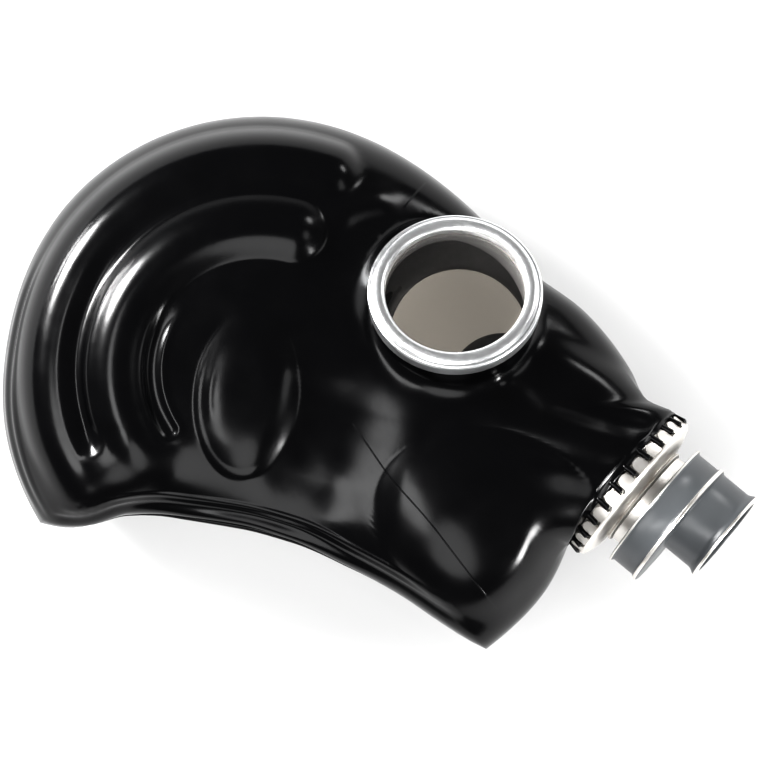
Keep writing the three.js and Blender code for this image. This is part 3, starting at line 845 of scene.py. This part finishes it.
skin_tree = BVHTree.FromPolygons(outer_points.tolist(), outer_faces)
for corners in PARTING_PATHS.values():
    path = smooth_path(corners, BEAD_STEPS)
    hits = [skin_tree.ray_cast(Vector((x, y, ABOVE_SKIN)), Vector((0, 0, -1)))[:2] for x, y in path]
    base = np.array([hit for hit, normal in hits])
    out = np.array([normal for hit, normal in hits])
    sideways = np.cross(np.gradient(base, axis=0), out)
    sideways /= np.linalg.norm(sideways, axis=1, keepdims=True)
    ends = np.sqrt(np.sin(np.linspace(0, np.pi, BEAD_STEPS)))[:, None]
    rows = []
    for place, level in BEAD_ROWS:
        lift = BEAD["height"] * level * ends if level > 0 else -BEAD["sunk"]
        rows.append(base + sideways * place * BEAD["width"] + out * lift)
    grid = np.arange(BEAD_STEPS * len(rows)).reshape(len(rows), BEAD_STEPS)
    quads = np.stack([grid[:-1, :-1], grid[1:, :-1], grid[1:, 1:], grid[:-1, 1:]], -1)
    hood.add(np.concatenate(rows), quads.reshape(-1, 4).tolist())
print(len(PARTING_PATHS), "parting lines")

# %% [markdown]
# The nozzle's edge is cut into teeth that lie over the clamp crown and flare out a little. Each is a
# rounded bar swept along a short line, so that its tip is soft as on the real rubber.

# %% Rubber teeth
TEETH = {"count": 24, "width": 2.3, "depth": 2.2, "root": 1.5, "length": 5.4, "radius": 34.3}
TOOTH_FLARE = math.tan(math.radians(13))
TOOTH_SIDES = 12
TOOTH_ROWS = 9
TOOTH_SQUARENESS = 4
TIP_ROUND = 1.0
TIP_SHARE = 0.02


def tooth(index):
    centre, axis, side, up = valve_frame
    turn = 2 * math.pi * (index + 0.5) / TEETH["count"]
    out = math.cos(turn) * side + math.sin(turn) * up
    over = math.cos(turn) * up - math.sin(turn) * side
    sides = 2 * np.pi * np.arange(TOOTH_SIDES) / TOOTH_SIDES
    cosines = np.cos(sides)
    sines = np.sin(sides)
    squarer = (cosines ** TOOTH_SQUARENESS + sines ** TOOTH_SQUARENESS) ** (-1 / TOOTH_SQUARENESS)
    wide = np.outer(cosines * squarer * TEETH["width"] / 2, over)
    deep = np.outer(sines * squarer * TEETH["depth"] / 2, out)
    points = []
    for place in np.linspace(-TEETH["root"], TEETH["length"], TOOTH_ROWS):
        beyond = max(0.0, (place - TEETH["length"] + TIP_ROUND) / TIP_ROUND)
        size = math.sqrt(max(1 - beyond ** 2, TIP_SHARE))
        radius = TEETH["radius"] + TOOTH_FLARE * max(place, 0)
        points.append(centre + place * axis + radius * out + (wide + deep) * size)
    net = np.arange(TOOTH_ROWS * TOOTH_SIDES).reshape(TOOTH_ROWS, TOOTH_SIDES)
    after = np.roll(net, -1, axis=1)
    sleeve = np.stack([after[:-1], net[:-1], net[1:], after[1:]], -1).reshape(-1, 4)
    return np.concatenate(points), [net[0].tolist(), net[-1, ::-1].tolist()] + sleeve.tolist()


for i in range(TEETH["count"]):
    hood.add(*tooth(i))
hood_piece = make_piece("rubber_hood", hood.all_points(), hood.faces, "black_rubber", "latex_hood", None)

# %% [markdown]
# The eyepiece rings are spun from sheet aluminium: a skirt that grips the cup, a thin flange, a fine
# groove and a broad round bead. A turned profile gives all of that.

# %% Eyepiece rings and panes
RING_PROFILE = (
    (35.1, -4.2), (36.0, -4.2), (36.3, -3.9), (36.7, 0.6), (36.7, 1.6), (36.5, 2.2), (36.1, 2.6),
    (35.6, 2.8), (35.2, 2.75), (35.0, 2.95), (34.6, 3.5), (33.9, 4.05), (33.0, 4.35), (32.0, 4.4),
    (31.0, 4.3), (30.2, 4.0), (29.6, 3.5), (29.25, 2.8), (29.2, 2.2), (29.2, 0.0), (35.1, 0.0))
RING_SEGMENTS = 128
PINHOLE = 0.01
PANE_PROFILE = (
    (PINHOLE, -3.1), (30.9, -3.1), (31.2, -2.8), (31.2, -0.6), (30.9, -0.3), (PINHOLE, -0.3))
rings = {}
panes = {}
for side in ("right", "left"):
    ring_mesh = turned(RING_PROFILE, eye_frames[side], RING_SEGMENTS)
    rings[side] = make_piece("spun_ring_" + side, *ring_mesh, "polished_ring", "eye_ring_" + side)
    pane_mesh = turned(PANE_PROFILE, eye_frames[side], closed=False)
    panes[side] = make_piece("clear_pane_" + side, *pane_mesh, "clear_pane", "eye_lens_" + side)

# %% [markdown]
# The clamp crown is pressed from bright sheet. A sleeve goes inside the nozzle, and a row of tabs with
# round ends lies between the rubber teeth. The body is turned, and each tab is a small curved plate.

# %% Clamp crown
CROWN_PROFILE = (
    (30.6, -6.0), (32.2, -6.0), (32.2, 5.4), (34.0, 5.6), (34.8, 5.9), (35.0, 6.4), (34.6, 7.1),
    (33.3, 8.0), (29.0, 9.3), (26.0, 10.0), (22.1, 10.2), (22.1, 9.0), (26.0, 8.2), (30.6, 6.2))
TAB = {"outer": 35.0, "thickness": 1.0, "start": 0.5, "end": 6.2, "round": 2.4, "gap": 3.1}
CROWN_SEGMENTS = 144
TAB_ACROSS = 13
TAB_ALONG = 6


def crown_tab(index):
    centre, axis, side, up = valve_frame
    half = math.pi / TEETH["count"] - TAB["gap"] / 2 / TAB["outer"]
    middle = 2 * math.pi * index / TEETH["count"]
    share = np.linspace(-1, 1, TAB_ACROSS)
    start = TAB["start"] + TAB["round"] * (1 - np.sqrt(1 - share ** 2))
    layers = []
    for radius in (TAB["outer"], TAB["outer"] - TAB["thickness"]):
        turn = middle + share * half
        out = np.outer(np.cos(turn), side) + np.outer(np.sin(turn), up)
        for row in np.linspace(0, 1, TAB_ALONG):
            place = start + (TAB["end"] - start) * row
            layers.append(centre + np.outer(place, axis) + radius * out)
    points = np.concatenate(layers)
    net = np.arange(TAB_ALONG * TAB_ACROSS).reshape(TAB_ALONG, TAB_ACROSS)
    outside = np.stack([net[:-1, :-1], net[:-1, 1:], net[1:, 1:], net[1:, :-1]], -1).reshape(-1, 4)
    faces = np.stack([outside, outside[:, ::-1] + net.size], 1).reshape(-1, 4).tolist()
    for border in (net[0, ::-1], net[-1], net[:, 0], net[::-1, -1]):
        start_of, end_of = border[:-1], border[1:]
        faces += np.stack([start_of, end_of, end_of + net.size, start_of + net.size], 1).tolist()
    return points, faces


crown = Parts()
crown.add(*turned(CROWN_PROFILE, valve_frame, CROWN_SEGMENTS))
for i in range(TEETH["count"]):
    crown.add(*crown_tab(i))
crown_piece = make_piece("pressed_crown", crown.all_points(), crown.faces, "bright_metal", "clamp_crown")

# %% [markdown]
# The neck is a short tube with a rolled bead. The valve box is a shallow drum with a lip at each end and
# a port set off-centre, flared at its mouth. Its loops run from the drum over the end face, out along the
# port, and back inside, so the box is one closed sheet-metal surface.

# %% Valve neck and valve box
NECK_PROFILE = (
    (19.0, 1.0), (21.7, 1.0), (21.7, 10.5), (22.4, 10.7), (23.0, 11.1), (23.2, 11.5), (23.0, 11.9),
    (22.4, 12.3), (21.7, 12.5), (21.7, 20.0), (19.0, 20.0))
neck_mesh = turned(NECK_PROFILE, valve_frame)
neck_piece = make_piece("rolled_neck", *neck_mesh, "bright_metal", "valve_neck")

PORT_ASIDE = 8.8
DRUM_OUTSIDE = (
    (22.0, 16.9), (28.9, 16.9), (29.3, 17.1), (29.4, 17.5), (29.2, 17.9), (28.7, 18.2), (28.3, 18.8),
    (28.3, 28.4), (28.6, 28.9), (29.2, 29.3), (29.4, 29.8), (29.4, 30.4), (29.2, 30.9), (28.8, 31.2))
PORT = (
    (20.4, 31.2), (19.8, 31.5), (19.5, 32.2), (19.5, 44.6), (19.7, 45.6), (20.2, 46.6), (20.7, 47.3),
    (20.9, 48.1), (20.9, 48.9), (20.6, 49.2), (18.3, 49.2), (17.9, 48.8), (17.9, 29.6))
DRUM_INSIDE = ((26.7, 29.6), (26.7, 18.5), (22.0, 18.5))
port_loops = [(radius, place, PORT_ASIDE) for radius, place in PORT]
BOX_SEGMENTS = 128
# Loops of the rolled lips, given bright metal as a painted highlight along their edges.
HIGHLIGHT_LOOPS = ((2, 4), (9, 12), (21, 24))
box_mesh = turned([*DRUM_OUTSIDE, *port_loops, *DRUM_INSIDE], valve_frame, BOX_SEGMENTS)
box_piece = make_piece("valve_drum", *box_mesh, "grey_paint", "valve_box")

# %% [markdown]
# Colours are written as sRGB hex values, as a colour picker shows them, and one function makes them
# linear. One small function adds a node with its settings and its links.

# %% Colours and nodes
def linear(colour):
    channels = [int(colour[i:i + 2], 16) / 255 for i in (1, 3, 5)]
    return tuple(c / 12.92 if c <= 0.04045 else ((c + 0.055) / 1.055) ** 2.4 for c in channels) + (1.0,)


def add_node(tree, kind, settings=None, links=None):
    node = tree.nodes.new(kind)
    for name, value in (settings or {}).items():
        if name in node.inputs:
            node.inputs[name].default_value = value
        else:
            setattr(node, name, value)
    for name, source in (links or {}).items():
        tree.links.new(source, node.inputs[name])
    return node


def new_material(name):
    material = bpy.data.materials.new(name)
    material.use_nodes = True
    material.node_tree.nodes.clear()
    return material, material.node_tree


print("a mid grey of #808080 is", round(linear("#808080")[0], 3), "in linear light")

# %% [markdown]
# All finishes share a few short chains of nodes: a mottle, a value that drifts with it, two tones, a fine
# bump, and the surface itself. Two functions dress a piece, the second one only some runs of its faces.

# %% Chains of nodes
def mottle(tree, size, detail):
    """Noise in the object's own space, in patches about this many millimetres wide."""
    place = add_node(tree, "ShaderNodeTexCoord")
    settings = {"Scale": 1 / (size * MM), "Detail": detail}
    noise = add_node(tree, "ShaderNodeTexNoise", settings, {"Vector": place.outputs["Object"]})
    return noise.outputs["Fac"]


def drifting(tree, source, low, high, span=(0.0, 1.0)):
    """A value that drifts from low to high while a noise goes over its span."""
    settings = {"From Min": span[0], "From Max": span[1], "To Min": low, "To Max": high}
    return add_node(tree, "ShaderNodeMapRange", settings, {"Value": source}).outputs["Result"]


def two_tones(tree, source, dark, pale):
    ramp = add_node(tree, "ShaderNodeValToRGB", None, {"Fac": source})
    for element, colour in zip(ramp.color_ramp.elements, (dark, pale)):
        element.color = linear(colour)
    return ramp.outputs["Color"]


def fine_bump(tree, source, strength, depth):
    """A bump whose depth is in millimetres."""
    settings = {"Strength": strength, "Distance": depth * MM}
    return add_node(tree, "ShaderNodeBump", settings, {"Height": source}).outputs["Normal"]


def finish_surface(tree, settings, links=None):
    surface = add_node(tree, "ShaderNodeBsdfPrincipled", settings, links)
    add_node(tree, "ShaderNodeOutputMaterial", None, {"Surface": surface.outputs["BSDF"]})


def dress(piece, material):
    piece.data.materials.clear()
    piece.data.materials.append(material)
    print(material.name, "on", piece.name)


def dress_faces(piece, material, runs):
    """Gives some runs of a piece's faces a second finish."""
    piece.data.materials.append(material)
    chosen = np.zeros(len(piece.data.polygons), np.int32)
    for first, last in runs:
        chosen[first:last] = 1
    piece.data.polygons.foreach_set("material_index", chosen)
    print(material.name, "on", int(chosen.sum()), "faces of", piece.name)


chains = (mottle, drifting, two_tones, fine_bump, finish_surface)
print("chains of nodes:", [chain.__name__ for chain in chains])

# %% [markdown]
# Moulded latex rubber is black right through and leaves its polished mould glossy. Handling leaves it a
# little uneven, so its gloss drifts over a centimetre or two and its skin has a very fine ripple.

# %% Moulded black rubber
GLOSS_PATCH = 14
SKIN_RIPPLE = 5
NOISE_SPAN = (0.3, 0.7)
rubber, tree = new_material("moulded_black_rubber")
gloss = drifting(tree, mottle(tree, GLOSS_PATCH, detail=3.0), low=0.17, high=0.24, span=NOISE_SPAN)
bump = fine_bump(tree, mottle(tree, SKIN_RIPPLE, detail=2.0), strength=0.06, depth=0.4)
finish_surface(tree, {"Base Color": linear("#060607"), "IOR": 1.36}, {"Roughness": gloss, "Normal": bump})
dress(hood_piece, rubber)

# %% [markdown]
# Inside, the rubber is matt charcoal, from the powder that keeps its walls from sticking together.

# %% Powdered inner rubber
POWDER = 3
powdered, tree = new_material("powdered_inner_rubber")
dust = mottle(tree, POWDER, detail=4.0)
gloss = drifting(tree, dust, low=0.45, high=0.65)
shade = two_tones(tree, dust, "#3f4042", "#565658")
finish_surface(tree, {"IOR": 1.5}, {"Base Color": shade, "Roughness": gloss})
dress_faces(hood_piece, powdered, matt_ranges)

# %% [markdown]
# The rings are aluminium, spun on a lathe and polished. Fine turning marks stay, too fine to show singly,
# so the noise that breaks up the shine is drawn coarser than the real marks.

# %% Spun aluminium
TURNING_MARK = 1.2
spun, tree = new_material("spun_polished_aluminium")
gloss = drifting(tree, mottle(tree, TURNING_MARK, detail=3.0), low=0.3, high=0.4, span=NOISE_SPAN)
finish_surface(tree, {"Base Color": linear("#f4f5f6"), "Metallic": 1.0}, {"Roughness": gloss})
for ring in rings.values():
    dress(ring, spun)

# %% [markdown]
# The panes are plain clear glass. Light goes straight through so thin a pane, so it casts no shadow here.

# %% Clear glass
SMEAR = 18
glass, tree = new_material("clear_window_glass")
gloss = drifting(tree, mottle(tree, SMEAR, detail=2.0), low=0.0, high=0.03)
clear = {"Base Color": linear("#f3efe9"), "IOR": 1.5, "Transmission Weight": 1.0}
finish_surface(tree, clear, {"Roughness": gloss})
for pane in panes.values():
    dress(pane, glass)
    pane.visible_shadow = False

# %% [markdown]
# Crown and neck are pressed aluminium sheet: bright, a little warm, and clouded by handling.

# %% Pressed aluminium
METAL_CLOUD = 7
pressed, tree = new_material("pressed_bright_aluminium")
cloud = mottle(tree, METAL_CLOUD, detail=4.0)
gloss = drifting(tree, cloud, low=0.32, high=0.46, span=NOISE_SPAN)
tint = two_tones(tree, cloud, "#efe9e0", "#fbfaf8")
finish_surface(tree, {"Metallic": 1.0}, {"Base Color": tint, "Roughness": gloss})
dress(crown_piece, pressed)
dress(neck_piece, pressed)

# %% [markdown]
# The valve box is sheet metal sprayed with grey enamel. The spray leaves a faint orange peel. The rolled
# lips get bright bare metal instead, a painted highlight that draws bright lines along their edges.

# %% Grey enamel
ORANGE_PEEL = 1.6
enamel, tree = new_material("sprayed_grey_enamel")
peel = mottle(tree, ORANGE_PEEL, detail=2.0)
gloss = drifting(tree, peel, low=0.26, high=0.38)
bump = fine_bump(tree, peel, strength=0.08, depth=0.1)
finish_surface(tree, {"Base Color": linear("#46484a"), "IOR": 1.5}, {"Roughness": gloss, "Normal": bump})
dress(box_piece, enamel)
# Bright metal on the lips paints the highlight lines along their edges.
highlight_runs = [(first * BOX_SEGMENTS, last * BOX_SEGMENTS) for first, last in HIGHLIGHT_LOOPS]
dress_faces(box_piece, pressed, highlight_runs)

# %% [markdown]
# The object lies on a plain pale sheet. It is matt, and a little light of its own keeps it even right to
# the edges of the view.

# %% Floor
FLOOR_HALF = 3.0
floor_mesh = bpy.data.meshes.new("white_floor")
floor_corners = [(FLOOR_HALF * x, FLOOR_HALF * y, 0) for x, y in ((-1, -1), (1, -1), (1, 1), (-1, 1))]
floor_mesh.from_pydata(floor_corners, [], [[0, 1, 2, 3]])
floor = bpy.data.objects.new("white_floor", floor_mesh)
bpy.context.scene.collection.objects.link(floor)
paper, tree = new_material("matte_white_paper")
glow = {"Emission Color": linear("#ffffff"), "Emission Strength": 0.22}
finish_surface(tree, {"Base Color": linear("#9b9b9b"), "Roughness": 0.9, **glow})
dress(floor, paper)

# %% [markdown]
# Glossy rubber shows its form by what it mirrors, so each light has its own task. A window at the upper
# left, with a low strip under it, draws the bright streaks round the ear. Three dim sheets, at the left,
# below and at the right, give the grey patches on cheek, muzzle and snout, and two small lamps touch the
# valve and the chin. Straight above it stays dark, which keeps the rubber black. Two fills only soften
# shadows and stay out of reflections. Turn and height are in degrees, the rest in metres and watts.

# %% Lights
LIGHT_COLUMNS = ("turn", "height", "distance", "width", "depth", "power", "in_gloss")
LIGHTS = {
    "window": (150, 27, 1.6, 0.55, 0.5, 52, True),
    "low_window": (150, 10, 1.6, 0.5, 0.07, 7, True),
    "left_sheet": (-162, 65, 1.8, 1.4, 0.46, 10, True),
    "muzzle_sheet": (-92, 52, 1.7, 0.85, 1.2, 7.5, True),
    "right_sheet": (-5, 44, 1.7, 0.7, 0.5, 1.75, True),
    "side_lamp": (40, 21, 1.6, 0.5, 0.3, 3.2, True),
    "chin_lamp": (-37, 18, 1.6, 0.28, 0.5, 13, True),
    "upper_fill": (52, 50, 2.4, 2.2, 2.2, 50, False),
    "lower_fill": (-65, 58, 2.4, 2.2, 2.2, 42, False),
}
for name, row in zip(LIGHTS, rows_of(LIGHT_COLUMNS, LIGHTS)):
    turn = math.radians(row["turn"])
    rise = math.radians(row["height"])
    away = Vector((math.cos(rise) * math.cos(turn), math.cos(rise) * math.sin(turn), math.sin(rise)))
    lamp = bpy.data.lights.new(name, "AREA")
    lamp.shape = "ELLIPSE"
    lamp.size = row["width"]
    lamp.size_y = row["depth"]
    lamp.energy = row["power"]
    holder = bpy.data.objects.new(name, lamp)
    holder.location = away * row["distance"]
    holder.visible_glossy = row["in_gloss"]
    holder.rotation_euler = (-away).to_track_quat("-Z", "Y").to_euler()
    bpy.context.scene.collection.objects.link(holder)
print(len(LIGHTS), "lights")

# %% [markdown]
# A grey room lights what no lamp reaches. The standard view shows colours as they are picked, and the
# look with high contrast deepens the blacks.

# %% Room and view
room = bpy.data.worlds.new("room")
room.use_nodes = True
backdrop = room.node_tree.nodes["Background"]
backdrop.inputs["Color"].default_value = linear("#888888")
backdrop.inputs["Strength"].default_value = 0.6
bpy.context.scene.world = room
bpy.context.scene.view_settings.view_transform = "Standard"
bpy.context.scene.view_settings.look = "High Contrast"
print("room light", round(backdrop.inputs["Strength"].default_value, 2))

# %% [markdown]
# The camera hangs straight above, far off, so the view is almost flat. Its frame is as wide as the
# drawing at the height of the outline.

# %% Camera
CAMERA_HEIGHT = 6.0
OUTLINE_HEIGHT = 0.042
FRAME_WIDTH = 0.3226
lens = bpy.data.cameras.new("overhead")
lens.sensor_width = 36
lens.lens = lens.sensor_width * (CAMERA_HEIGHT - OUTLINE_HEIGHT) / FRAME_WIDTH
camera = bpy.data.objects.new("overhead", lens)
camera.location = (SHIFT[0] * MM, SHIFT[1] * MM, CAMERA_HEIGHT)
bpy.context.scene.collection.objects.link(camera)
bpy.context.scene.camera = camera
print("focal length", round(lens.lens, 1), "mm")
